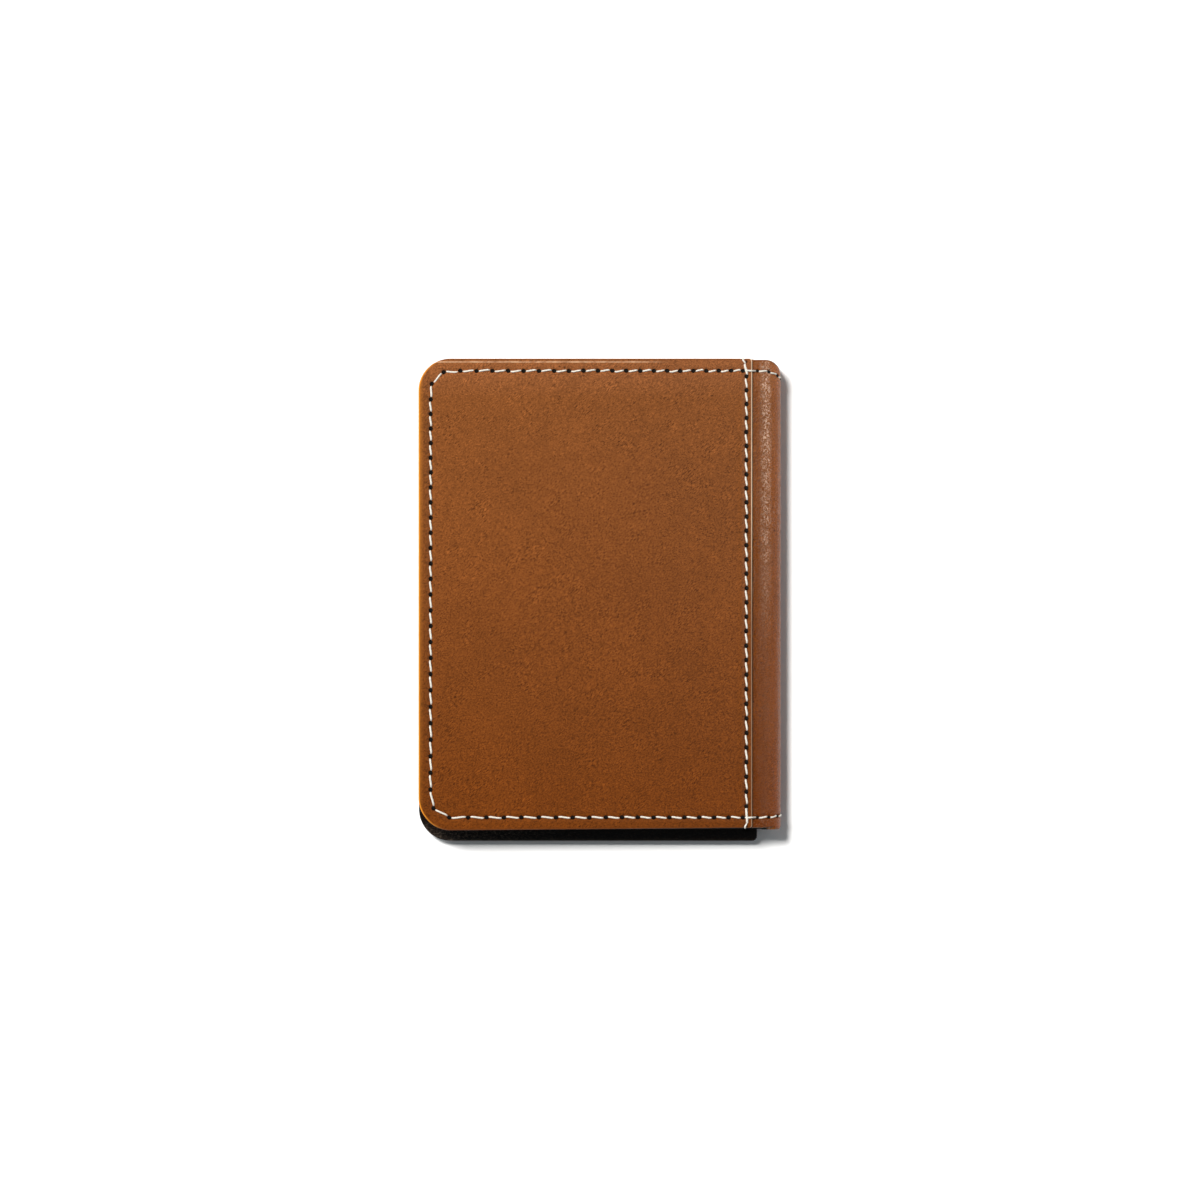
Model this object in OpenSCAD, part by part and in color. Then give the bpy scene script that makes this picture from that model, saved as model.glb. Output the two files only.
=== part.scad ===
// Bifold wallet, closed, lying on its back leaf with the fold at +X.
// +Y is the head, where the pockets are closed, and -Y is the mouth.
// A leather cover wraps from the back leaf round the fold to the front leaf.
// An outer panel is sewn to each leaf, with card pockets on the inside, and a
// folded-cash pocket behind the black panel of the back leaf.
// The cover and its lining bend along the fold, so there they are cut into
// narrow strips that hinge on each other at the middle of the leather.

/* [Cover] */
// Height of the tan cover, head to tail
cover_h = 106; // [100:1:112]
// Width of the closed wallet, free edge to fold
cover_w = 81.6; // [78:0.2:90]
// Radius of the corners at the free edge
corner_r = 7.2; // [5:0.1:9]
// Thickness of the leather that wraps round the fold
cover_t = 1.2; // [0.9:0.1:1.5]
// Thickness of the outer panel on each leaf
panel_t = 1.1; // [0.9:0.1:1.4]
// Distance from the outer panel's edge to the outside of the fold
fold_margin = 6.5; // [6.3:0.1:8]

/* [Pockets] */
// Thickness of the lining, which is also the depth of the cash pocket
lining_t = 0.6; // [0.5:0.1:0.8]
// Thickness of the cash pocket's black panel
cash_panel_t = 0.8; // [0.6:0.1:1]
// How far the cash panel stands past the cover at the mouth
cash_lip = 2.7; // [0:0.1:5]
// Thickness of a card pocket's leather
pocket_t = 0.6; // [0.5:0.1:0.8]
// Depth of a card pocket, for a card of 0.76
card_gap = 0.8; // [0.8:0.05:1]
// Length of a card, which stands upright in its pocket
card_l = 85.6; // [85:0.1:86]
// How much of a card shows past its pocket's mouth
card_reveal = 8; // [5:0.5:12]
// Step between one card pocket and the next
pocket_step = 11; // [8:0.5:12]
// Width of the filler strips along the closed sides of a pocket
welt_w = 4; // [3.6:0.1:4.6]
// Space between the two leaves when closed
leaf_gap = 0.7; // [0.6:0.1:1.5]

/* [Window] */
// Width of the clear window
window_w = 46; // [30:1:50]
// Height of the clear window
window_h = 64; // [40:1:66]
// Thickness of the clear film
film_t = 0.2; // [0.2:0.05:0.3]

/* [Stitching] */
// Distance from the edge to the seam
seam_inset = 2.75; // [2.5:0.05:3]
// Distance from the outer panel's inner edge to the seam beside the fold
fold_seam_inset = 1.3; // [1.2:0.1:1.6]
// Diameter of the white thread
thread_d = 0.54; // [0.4:0.02:0.56]
// Diameter of the black thread inside
inner_thread_d = 0.44; // [0.36:0.02:0.46]
// Length of leather between one stitch and the next
hole_gap = 0.95; // [0.7:0.05:1.2]

/* [Hidden] */

$fn = 64;
eps = 0.01;
tan_leather = "#8f5429";
black_leather = "#1a1614";
lining_black = "#262120";
white_thread = "#ece6d8";
black_thread = "#121010";
clear_film = "#c9d6da80";

// Plan positions
free_x = -cover_w / 2;
fold_x_max = cover_w / 2;
panel_x = fold_x_max - fold_margin;
tail_y = -(cover_h + cash_lip) / 2 + cash_lip;
head_y = tail_y + cover_h;
lip_y = tail_y - cash_lip;
cover_head_drop = 0.25;            // the cover's head edge sits this far inside the panel's
panel_r = 0.6;                     // corner radius at the fold side of a panel
cash_panel_x = panel_x + 1.2;
cash_panel_r = 1.1;

// Heights inside a leaf, from its outer face inwards
cover_z = panel_t;
lining_z = cover_z + cover_t;
cash_panel_z = lining_z + lining_t;
back_a_z = cash_panel_z + cash_panel_t;
back_b_z = back_a_z + card_gap + pocket_t;
back_leaf_t = back_b_z + card_gap + pocket_t;
front_a_z = lining_z + lining_t;
front_b_z = front_a_z + card_gap + pocket_t;
front_leaf_t = front_b_z + card_gap + pocket_t;
closed_t = back_leaf_t + leaf_gap + front_leaf_t;

// The fold: a half round about an axis along Y
fold_z = closed_t / 2;
bend_r = fold_z - panel_t;         // outer radius of the cover
bend_mid_r = bend_r - cover_t / 2;
bend_in_r = bend_r - cover_t;
lining_in_r = bend_in_r - lining_t;
fold_x = fold_x_max - bend_r;
strips = 5;
hinge_step = 180 / (strips + 1);
half_link = bend_mid_r * tan(hinge_step / 2);
strip_clearance = 0.05;
relief_r = 3.5;                    // rounding of the fold's corner at the head
tail_relief_r = 0.7;

// Pocket positions
stop_b_y = head_y - welt_w;
stop_a_y = stop_b_y - pocket_step;
mouth_a_y = stop_a_y - card_l + card_reveal;
mouth_b_y = stop_b_y - card_l + card_reveal;
stop_w = 3;
welt_joint = 0.1;                  // gap between the strips of one welt

// Seam positions
seam_x = free_x + seam_inset;
head_seam_y = head_y - seam_inset;
tail_seam_y = tail_y + seam_inset;
fold_seam_x = panel_x - fold_seam_inset;
side_seam_y = tail_seam_y + corner_r;  // the cash pocket's sides are sewn from here to the head
seam_r = corner_r - seam_inset;
thread_sink = 0.02;                // depth of the thread below the leather's face
groove_w = thread_d + 0.2;
groove_d = thread_d + 2 * thread_sink;
inner_groove_w = inner_thread_d + 0.2;
inner_groove_d = 0.24;
stop_groove_d = inner_thread_d + 0.02;
edge_pitch = 3.5;
head_pitch = 3.2;
tail_pitch = 3.67;
fold_pitch = 3.23;
tail_lean = -0.12;
edge_lean = 0.08;
head_lean = 0.15;
fold_lean = 0.03;

// ---------------------------------------------------------------- outlines

// A rectangle with its own radius at the free edge and at the fold side
module leaf_outline(x0, x1, y0, y1, r_free, r_fold) {
    union() {
        for (y = [y0 + r_free, y1 - r_free]) translate([x0 + r_free, y]) circle(r_free);
        for (y = [y0 + r_fold, y1 - r_fold]) translate([x1 - r_fold, y]) circle(r_fold);
        translate([x0, y0 + r_free]) square([2 * r_free, y1 - y0 - 2 * r_free]);
        translate([x1 - 2 * r_fold, y0 + r_fold]) square([2 * r_fold, y1 - y0 - 2 * r_fold]);
        translate([x0 + r_free, y0]) square([x1 - r_fold - x0 - r_free, y1 - y0]);
    }
}

// The outer panel, and each inner layer of the same size
module panel_outline() leaf_outline(free_x, panel_x, tail_y, head_y, corner_r, panel_r);

// The part of the panel's outline on the head side of a line across it
module pocket_outline(mouth_y) {
    intersection() {
        panel_outline();
        translate([free_x - 1, mouth_y]) square([cover_w, cover_h]);
    }
}

// ------------------------------------------------------------------- seams

// Stitch holes from a to b, n stitches apart. Hand-set stitches vary: with a lean above 0
// they start long and end short.
function run(a, b, n, lean) = [for (i = [0:n]) a + (b - a) * (i / n) * (1 + lean * (1 - i / n))];
function run_by(a, b, pitch, lean = 0) = run(a, b, round(norm(b - a) / pitch), lean);
function corner(cx, cy, angles) = [for (t = angles) [cx + seam_r * cos(t), cy + seam_r * sin(t)]];

corner_x = seam_x + seam_r;
seams_apart = 0.75;                // from the last hole of an edge run to the seam beside the fold
tail_run_gap = 4;                  // straight distance from each corner to the nearest hole of a run
head_run_gap = 2.2;
side_tail_gap = 1.8;
side_head_gap = 2;
tail_corner_angles = [266, 212];   // two holes turn each corner
head_corner_angles = [160, 110];
run_end_x = fold_seam_x - seams_apart;
tail_run = [[run_end_x, tail_seam_y], [corner_x + tail_run_gap, tail_seam_y]];
tail_corner = corner(corner_x, tail_seam_y + seam_r, tail_corner_angles);
side_run = [[seam_x, tail_seam_y + seam_r + side_tail_gap], [seam_x, head_seam_y - seam_r - side_head_gap]];
head_corner = corner(corner_x, head_seam_y - seam_r, head_corner_angles);
head_run = [[corner_x + head_run_gap, head_seam_y], [run_end_x, head_seam_y]];
edge_holes = concat(
    run_by(tail_run[0], tail_run[1], tail_pitch, tail_lean),
    tail_corner,
    run_by(side_run[0], side_run[1], edge_pitch, edge_lean),
    head_corner,
    run_by(head_run[0], head_run[1], head_pitch, head_lean)
);
// The seam beside the fold has an end hole near each edge, with a longer stitch after it
tail_end_hole = 0.4;
head_end_hole = 0.7;
tail_first_hole = 5.25;
head_first_hole = 3.95;
fold_holes = concat(
    [[fold_seam_x, tail_y + tail_end_hole]],
    run_by(
        [fold_seam_x, tail_y + tail_first_hole],
        [fold_seam_x, head_y - head_first_hole],
        fold_pitch,
        fold_lean
    ),
    [[fold_seam_x, head_y - head_end_hole]]
);

// A line of width w through points
module stroke(points, w) {
    for (p = points) translate(p) circle(d = w, $fn = 24);
    for (i = [0:len(points) - 2]) {
        way = points[i + 1] - points[i];
        translate(points[i]) rotate(atan2(way.y, way.x)) translate([0, -w / 2]) square([norm(way), w]);
    }
}

// The grooves that the seams lie in, each running out at the panel's edges
module seam_bands(w) {
    union() {
        stroke(concat([[panel_x + 1, tail_seam_y]], tail_run, tail_corner, side_run, head_corner, head_run,
                      [[panel_x + 1, head_seam_y]]), w);
        stroke([[fold_seam_x, lip_y - 1], [fold_seam_x, head_y + 1]], w);
    }
}

// One stitch lying between two holes
module stitch(a, b, d, gap) {
    way = b - a;
    length = norm(way) - gap;
    middle = (a + b) / 2;
    translate([middle.x, middle.y, 0])
        rotate([0, 90, atan2(way.y, way.x)])
            cylinder(h = length, d = d, center = true, $fn = 24);
}

// A seam's thread, with its lowest point at z
module seam_thread(holes, z, d) {
    for (i = [0:len(holes) - 2])
        translate([0, 0, z + d / 2])
            stitch(holes[i], holes[i + 1], d, hole_gap);
}

module outer_edge_stitches() seam_thread(edge_holes, thread_sink, thread_d);

module outer_fold_stitches() seam_thread(fold_holes, thread_sink, thread_d);

// The inside of each seam steps down from layer to layer towards the mouth.
// levels is a list of [y from, y to, height of the leather's face].
module inner_stitches(levels) {
    for (row = [edge_holes, fold_holes])
        for (i = [0:len(row) - 2])
            for (level = levels) {
                ends = [row[i], row[i + 1]];
                if (min(ends[0].y, ends[1].y) > level[0] && max(ends[0].y, ends[1].y) < level[1])
                    seam_thread(ends, level[2] - inner_groove_d + eps, inner_thread_d);
            }
}

// The row across a card pocket that a card stops against
stop_row_y = stop_a_y + stop_w / 2;
stop_holes = run_by([seam_x + 3, stop_row_y], [fold_seam_x - 3, stop_row_y], head_pitch);

module stop_stitches(face_z) seam_thread(stop_holes, face_z - stop_groove_d + eps, inner_thread_d);

module stop_groove(face_z) {
    layer(face_z - stop_groove_d, stop_groove_d + eps)
        translate([seam_x + 2.5, stop_row_y - inner_groove_w / 2])
            square([fold_seam_x - seam_x - 5, inner_groove_w]);
}

// ------------------------------------------------------- layers of one leaf

module layer(z, t) translate([0, 0, z]) linear_extrude(t) children();

// The outer panel, with a groove that its stitches lie in
module outer_panel() {
    difference() {
        layer(0, panel_t) panel_outline();
        layer(-eps, groove_d + eps) seam_bands(groove_w);
    }
}

// The grooves for the stitches that show on the inside, between two heights along the leaf
module inner_groove(face_z, y0, y1) {
    layer(face_z - inner_groove_d, inner_groove_d + eps)
        intersection() {
            seam_bands(inner_groove_w);
            translate([free_x, y0]) square([cover_w - fold_margin, y1 - y0]);
        }
}

module inner_layer(z, t, groove_y0, groove_y1) {
    difference() {
        layer(z, t) children();
        inner_groove(z + t, groove_y0, groove_y1);
    }
}

// Filler strips along the free edge, the fold side and the closed end of a pocket.
// end_y is where the closed end's strip starts, and end_w is its width.
module welt(z, t, mouth_y, end_y, end_w, fold_side = true) {
    inner_x0 = free_x + welt_w;
    inner_x1 = panel_x - welt_w;
    layer(z, t) intersection() {
        pocket_outline(mouth_y);
        translate([free_x, lip_y]) square([welt_w, cover_h + cash_lip]);
    }
    if (fold_side)
        layer(z, t) intersection() {
            pocket_outline(mouth_y);
            translate([inner_x1, lip_y]) square([welt_w, cover_h + cash_lip]);
        }
    layer(z, t) intersection() {
        panel_outline();
        translate([inner_x0 + welt_joint, end_y])
            square([inner_x1 - inner_x0 - 2 * welt_joint, end_w]);
    }
}

module head_welt(z, t, mouth_y, fold_side = true)
    welt(z, t, mouth_y, head_y - welt_w, welt_w, fold_side);

// The closed end of a lower pocket lies inside the leaf, so a strip at the head keeps the layers level
module stop_welt(z, t, mouth_y) {
    welt(z, t, mouth_y, stop_a_y, stop_w);
    layer(z, t) intersection() {
        panel_outline();
        translate([free_x + welt_w + welt_joint, head_y - welt_w])
            square([panel_x - free_x - 2 * (welt_w + welt_joint), welt_w]);
    }
}

// The front leaf is built like the back one and turned over
module turned_over() translate([0, 0, closed_t]) mirror([0, 0, 1]) children();

// -------------------------------------------------------------- the fold

// Plan outline that trims everything that goes round the fold
module fold_trim() {
    translate([0, 0, -1])
        linear_extrude(closed_t + 2)
            union() {
                translate([free_x, tail_y + tail_relief_r])
                    square([cover_w, cover_h - cover_head_drop - tail_relief_r - relief_r]);
                translate([free_x, tail_y])
                    square([cover_w - tail_relief_r, cover_h - cover_head_drop - relief_r]);
                translate([free_x, tail_y + relief_r])
                    square([cover_w - relief_r, cover_h - cover_head_drop - relief_r]);
                translate([fold_x_max - relief_r, head_y - cover_head_drop - relief_r]) circle(relief_r);
                translate([fold_x_max - tail_relief_r, tail_y + tail_relief_r]) circle(tail_relief_r);
            }
}

// A profile in the plane across the fold, drawn about the fold's axis
module across_fold() {
    translate([fold_x, head_y, fold_z])
        rotate([90, 0, 0])
            linear_extrude(cover_h)
                children();
}

// The wedge that one strip may fill: radial on the inside of its hinges, and square to the
// strip outside them, so that the strips clear each other both bent and flat
module strip_wedge(left, right) {
    inner = lining_in_r - 0.5;
    taper = half_link * inner / bend_mid_r;
    polygon([
        [left ? -(taper - strip_clearance) : 0, inner],
        [right ? taper - strip_clearance : 0, inner],
        [right ? half_link - strip_clearance : 0, bend_mid_r],
        [right ? half_link - strip_clearance : 0, bend_r + 1],
        [left ? -(half_link - strip_clearance) : 0, bend_r + 1],
        [left ? -(half_link - strip_clearance) : 0, bend_mid_r]
    ]);
}

// A stretch of the bend about the angle phi, where 0 is at the back leaf and 180 at the front
module bend_profile(phi, r_out, r_in, left = true, right = true) {
    rotate(180 + phi)
        intersection() {
            difference() {
                circle(r_out, $fn = 96);
                circle(r_in, $fn = 96);
            }
            strip_wedge(left, right);
        }
}

// The stretch of cover or lining that lies on the back leaf, up to the first hinge
module leaf_wrap(x0, r_out, r_in, r_free) {
    z = fold_z - r_out;
    t = r_out - r_in;
    union() {
        layer(z, t)
            leaf_outline(x0, fold_x + eps, tail_y, head_y - cover_head_drop, r_free, eps);
        intersection() {
            across_fold() bend_profile(0, r_out, r_in, left = true, right = false);
            fold_trim();
        }
    }
}

// Moves to the outside of the fold over a strip, at a height y, with Z pointing outwards
module on_strip(k, y) {
    translate([fold_x, y, fold_z]) rotate([0, 180 - hinge_step * k, 0]) children();
}

// The seams at head and tail run on round the fold, and draw in a little at its middle
function head_row_y(k) = head_seam_y - 1.6 * pow(sin(hinge_step * k), 3);
function tail_row_y(k) = tail_seam_y + 0.4 * pow(sin(hinge_step * k), 3);
strip_stitch_l = 2 * half_link - 0.7;
strip_stitch_sag = 0.09;

module strip_stitch(k, y) {
    on_strip(k, y)
        translate([0, 0, bend_r - strip_stitch_sag - thread_d / 2])
            rotate([0, 90, 0])
                cylinder(h = strip_stitch_l, d = thread_d, center = true, $fn = 24);
}

module strip_stitch_recess(k, y) {
    depth = thread_d + strip_stitch_sag + 0.02;
    on_strip(k, y)
        translate([-strip_stitch_l / 2 - 0.05, -groove_w / 2, bend_r - depth])
            cube([strip_stitch_l + 0.1, groove_w, depth + 1]);
}

module spine_leather(k) {
    color(tan_leather)
        difference() {
            intersection() {
                across_fold() bend_profile(hinge_step * k, bend_r, bend_in_r);
                fold_trim();
            }
            strip_stitch_recess(k, head_row_y(k));
            strip_stitch_recess(k, tail_row_y(k));
        }
}

module spine_lining(k) {
    color(lining_black)
        intersection() {
            across_fold() bend_profile(hinge_step * k, bend_in_r, lining_in_r);
            fold_trim();
        }
}

module spine_stitches(k) {
    color(white_thread) {
        strip_stitch(k, head_row_y(k));
        strip_stitch(k, tail_row_y(k));
    }
}

// ---------------------------------------------------------- the back leaf

module back_panel() color(tan_leather) outer_panel();

module back_cover() color(tan_leather) leaf_wrap(free_x, bend_r, bend_in_r, corner_r);

// The lining goes only as far as the seam beside the fold, and closes that side of the cash pocket
module back_lining()
    color(lining_black)
        leaf_wrap(panel_x - welt_w, bend_in_r, lining_in_r, eps);

module cash_pocket_welt()
    color(black_leather)
        head_welt(lining_z, lining_t, tail_y, fold_side = false);

module cash_panel()
    color(black_leather)
        inner_layer(cash_panel_z, cash_panel_t, side_seam_y, mouth_a_y)
            leaf_outline(free_x, cash_panel_x, lip_y, head_y, corner_r, cash_panel_r);

module back_slot_a_welt() color(black_leather) stop_welt(back_a_z, card_gap, mouth_a_y);

module back_card_slot_a()
    color(black_leather)
        difference() {
            inner_layer(back_a_z + card_gap, pocket_t, mouth_a_y, mouth_b_y) pocket_outline(mouth_a_y);
            stop_groove(back_b_z);
        }

module back_slot_b_welt() color(black_leather) head_welt(back_b_z, card_gap, mouth_b_y);

module back_card_slot_b()
    color(black_leather)
        inner_layer(back_b_z + card_gap, pocket_t, mouth_b_y, head_y)
            pocket_outline(mouth_b_y);

module back_edge_stitches() color(white_thread) outer_edge_stitches();

module back_fold_stitches() color(white_thread) outer_fold_stitches();

module back_inner_stitches()
    color(black_thread)
        inner_stitches([
            [side_seam_y, mouth_a_y, back_a_z],
            [mouth_a_y, mouth_b_y, back_b_z],
            [mouth_b_y, head_y, back_leaf_t]
        ]);

module back_stop_stitches() color(black_thread) stop_stitches(back_b_z);

// --------------------------------------------------------- the front leaf

module front_panel() color(tan_leather) turned_over() outer_panel();

module front_cover() color(tan_leather) turned_over() leaf_wrap(free_x, bend_r, bend_in_r, corner_r);

module front_lining()
    color(lining_black)
        turned_over()
            difference() {
                leaf_wrap(free_x, bend_in_r, lining_in_r, corner_r);
                inner_groove(front_a_z, tail_y, mouth_a_y);
            }

module front_slot_welt() color(black_leather) turned_over() stop_welt(front_a_z, card_gap, mouth_a_y);

module front_card_slot()
    color(black_leather)
        turned_over()
            difference() {
                inner_layer(front_a_z + card_gap, pocket_t, mouth_a_y, mouth_b_y) pocket_outline(mouth_a_y);
                stop_groove(front_b_z);
            }

module id_pocket_welt() color(black_leather) turned_over() head_welt(front_b_z, card_gap, mouth_b_y);

window_x = (seam_x + fold_seam_x) / 2 - window_w / 2;
window_y = mouth_b_y + 7;
window_r = 3;
film_lap = 2.5;

module id_window_frame()
    color(black_leather)
        turned_over()
            difference() {
                inner_layer(front_b_z + card_gap, pocket_t, mouth_b_y, head_y)
                    pocket_outline(mouth_b_y);
                layer(front_b_z + card_gap - eps, pocket_t + 2 * eps)
                    leaf_outline(window_x, window_x + window_w, window_y, window_y + window_h, window_r, window_r);
                layer(front_b_z + card_gap - eps, film_t + eps)
                    translate([window_x - film_lap, window_y - film_lap])
                        square([window_w + 2 * film_lap, window_h + 2 * film_lap]);
            }

module id_window_film()
    color(clear_film)
        turned_over()
            layer(front_b_z + card_gap, film_t)
                translate([window_x - film_lap + 0.05, window_y - film_lap + 0.05])
                    square([window_w + 2 * film_lap - 0.1, window_h + 2 * film_lap - 0.1]);

module front_edge_stitches() color(white_thread) turned_over() outer_edge_stitches();

module front_fold_stitches() color(white_thread) turned_over() outer_fold_stitches();

module front_inner_stitches()
    color(black_thread)
        turned_over()
            inner_stitches([
                [tail_y, mouth_a_y, front_a_z],
                [mouth_a_y, mouth_b_y, front_b_z],
                [mouth_b_y, head_y, front_leaf_t]
            ]);

module front_stop_stitches() color(black_thread) turned_over() stop_stitches(front_b_z);

// ------------------------------------------------------------------ nodes

back_panel();
back_cover();
back_lining();
cash_panel();
cash_pocket_welt();
back_slot_a_welt();
back_card_slot_a();
back_slot_b_welt();
back_card_slot_b();
back_edge_stitches();
back_fold_stitches();
back_inner_stitches();
back_stop_stitches();
front_panel();
front_cover();
front_lining();
front_slot_welt();
front_card_slot();
id_pocket_welt();
id_window_frame();
id_window_film();
front_edge_stitches();
front_fold_stitches();
front_inner_stitches();
front_stop_stitches();
for (k = [1:strips]) {
    spine_leather(k);
    spine_lining(k);
    spine_stitches(k);
}
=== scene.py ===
"""Bifold wallet: the visual model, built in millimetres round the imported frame."""
import math

import bpy
import numpy as np
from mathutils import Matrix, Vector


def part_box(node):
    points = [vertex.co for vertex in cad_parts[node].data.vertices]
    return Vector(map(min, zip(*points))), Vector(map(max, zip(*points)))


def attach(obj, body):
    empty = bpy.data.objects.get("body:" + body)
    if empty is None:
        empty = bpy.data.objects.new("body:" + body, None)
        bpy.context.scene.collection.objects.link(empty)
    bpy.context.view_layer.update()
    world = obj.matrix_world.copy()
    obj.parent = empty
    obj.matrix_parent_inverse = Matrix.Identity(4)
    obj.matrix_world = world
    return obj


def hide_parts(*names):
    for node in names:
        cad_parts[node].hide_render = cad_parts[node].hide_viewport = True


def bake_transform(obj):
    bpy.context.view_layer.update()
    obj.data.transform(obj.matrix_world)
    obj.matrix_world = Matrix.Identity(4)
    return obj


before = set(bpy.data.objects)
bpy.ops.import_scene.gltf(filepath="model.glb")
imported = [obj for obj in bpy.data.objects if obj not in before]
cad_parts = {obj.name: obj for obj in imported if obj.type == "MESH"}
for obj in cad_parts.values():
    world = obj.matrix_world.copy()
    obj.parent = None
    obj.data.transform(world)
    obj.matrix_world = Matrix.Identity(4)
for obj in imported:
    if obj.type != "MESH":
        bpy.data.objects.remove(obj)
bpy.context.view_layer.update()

MM = 0.001
rng = np.random.default_rng(11)


# ------------------------------------------------------------------- sizes

def box_mm(node):
    low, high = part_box(node)
    return np.array(low) / MM, np.array(high) / MM


panel_low, panel_high = box_mm("front_panel")
free_x, panel_x = panel_low[0], panel_high[0]
tail_y, head_y = panel_low[1], panel_high[1]
closed_t = panel_high[2]
fold_max_x = box_mm("spine_leather_3")[1][0]

# Depths are measured from a leaf's outer face, inwards
cover_d = closed_t - box_mm("front_cover")[1][2]
lining_d = closed_t - box_mm("front_lining")[1][2]
pockets_d = closed_t - box_mm("front_slot_welt")[1][2]
cash_low, cash_high = box_mm("cash_panel")
slot_a_low, slot_a_high = box_mm("back_card_slot_a")
slot_b_low, slot_b_high = box_mm("back_card_slot_b")
front_a_low, front_a_high = box_mm("front_card_slot")
window_low, window_high = box_mm("id_window_frame")
film_low, film_high = box_mm("id_window_film")
mouth_a_y, mouth_b_y = slot_a_low[1], slot_b_low[1]

bend_r = closed_t / 2 - cover_d
fold_x = fold_max_x - bend_r
skin_reach = fold_x - free_x + math.pi * bend_r / 2   # along the leather, from mid-fold to a free edge
corner_r = 7.2
panel_r = 0.6
pocket_r = 0.6
cash_r = 1.1
cover_head_drop = 0.25
relief_r = 3.5                                # rounds the cover off where the fold meets the head
tail_relief_r = 0.7
tail_trim_free, tail_trim_fold = -0.22, 0.5   # the tail edge isn't cut quite square

# Seams, placed as in part.scad
thread_d = 0.54
inner_thread_d = 0.44
seam_inset = 2.75
fold_seam_inset = 1.3
seams_apart = 0.75
edge_pitch, edge_lean = 3.5, 0.08
head_pitch, head_lean = 3.2, 0.15
tail_pitch, tail_lean = 3.67, -0.12
fold_pitch, fold_lean = 3.23, 0.03
tail_run_gap, head_run_gap = 4, 2.2
side_tail_gap, side_head_gap = 1.8, 2
tail_corner_angles = [266, 212]
head_corner_angles = [160, 110]
tail_end_hole, tail_first_hole = 0.4, 5.25
head_end_hole, head_first_hole = 0.7, 3.95
stop_row_gap = 3
track_overrun = 1
seam_x = free_x + seam_inset
head_seam_y = head_y - seam_inset
tail_seam_y = tail_y + seam_inset
seam_r = corner_r - seam_inset
corner_x = seam_x + seam_r
fold_seam_x = panel_x - fold_seam_inset
run_end_x = fold_seam_x - seams_apart
side_seam_y = tail_seam_y + corner_r


def run_by(a, b, pitch, lean=0.0):
    """Holes from a to b. With a lean above 0 the stitches start long and end short."""
    a, b = np.array(a, float), np.array(b, float)
    n = round(float(np.linalg.norm(b - a)) / pitch)
    return [a + (b - a) * (i / n) * (1 + lean * (1 - i / n)) for i in range(n + 1)]


def corner(cy, angles):
    turns = np.radians(angles)
    return [np.array([corner_x + seam_r * math.cos(t), cy + seam_r * math.sin(t)]) for t in turns]


tail_row = run_by([run_end_x, tail_seam_y], [corner_x + tail_run_gap, tail_seam_y], tail_pitch, tail_lean)
tail_corner = corner(tail_seam_y + seam_r, tail_corner_angles)
side_row = run_by([seam_x, tail_seam_y + seam_r + side_tail_gap],
                  [seam_x, head_seam_y - seam_r - side_head_gap], edge_pitch, edge_lean)
head_corner = corner(head_seam_y - seam_r, head_corner_angles)
head_row = run_by([corner_x + head_run_gap, head_seam_y], [run_end_x, head_seam_y], head_pitch, head_lean)
edge_holes = np.array(tail_row + tail_corner + side_row + head_corner + head_row)
fold_row = run_by([fold_seam_x, tail_y + tail_first_hole], [fold_seam_x, head_y - head_first_hole],
                  fold_pitch, fold_lean)
fold_holes = np.array([[fold_seam_x, tail_y + tail_end_hole], *fold_row,
                       [fold_seam_x, head_y - head_end_hole]])
stop_y = box_mm("back_stop_stitches")[0][1] + inner_thread_d / 2
stop_row = run_by([seam_x + stop_row_gap, stop_y], [fold_seam_x - stop_row_gap, stop_y], head_pitch)
stop_holes = np.array(stop_row)

# The lines that the seams press into the leather, through their holes and past the panel's edges
edge_track = np.array([[panel_x + track_overrun, tail_seam_y], tail_row[0], tail_row[-1], *tail_corner,
                       side_row[0], side_row[-1], *head_corner, head_row[0], head_row[-1],
                       [panel_x + track_overrun, head_seam_y]])
fold_track = np.array([[fold_seam_x, tail_y - track_overrun], [fold_seam_x, head_y + track_overrun]])

# Depth and width of what the stitching presses into the leather, and the radius of a hole
groove_d, groove_w = 0.17, 0.45
ridge_h, ridge_w, ridge_gap = 0.05, 0.5, 1.15   # a low ridge on each side of the groove
dimple_d, dimple_w = 0.3, 0.36
hole_r = 0.34
fold_groove_d, fold_groove_w = 0.12, 0.4
fold_dimple_d, fold_hole_r = 0.28, 0.32
fold_head_draw, fold_tail_draw = 1.6, 0.4       # how far the end seams draw in at the middle of the fold
# Creases along the fold: distance round it, width and depth
fold_creases = ((0.9, 0.35, 0.035), (2.5, 0.5, 0.03), (4.3, 0.4, 0.04), (6.1, 0.6, 0.03))
notch_d = 0.32


# -------------------------------------------------------------- mesh making

def placed(points, side):
    """Points of (x, y, depth) in the frame, for the back leaf or the front one."""
    out = np.array(points, float)
    below = np.clip((tail_seam_y - out[..., 1]) / seam_inset, 0, 1.3)
    across = np.clip((out[..., 0] - free_x) / (fold_max_x - free_x), 0, 1)
    trim = below * (tail_trim_free + (tail_trim_fold - tail_trim_free) * across)
    out[..., 1] += np.where(out[..., 2] < pockets_d - 0.01, trim, 0.0)
    if side == "front":
        out[..., 2] = closed_t - out[..., 2]
    return out


def unfolded(points, side, along=None):
    """Where a point of (x, y, depth) lies on the flat leather, from the front's free edge to the back's."""
    out = np.array(points, float)
    if along is not None:
        out[..., 0] = along
    if side == "back":
        out[..., 0] = 2 * fold_x + math.pi * bend_r - out[..., 0]
    return out


def stack(points, hoop=False, **attributes):
    """Equal rings of points that make one closed solid. A hoop's last ring joins its first."""
    return {"points": points, "hoop": hoop, "attributes": attributes}


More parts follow.
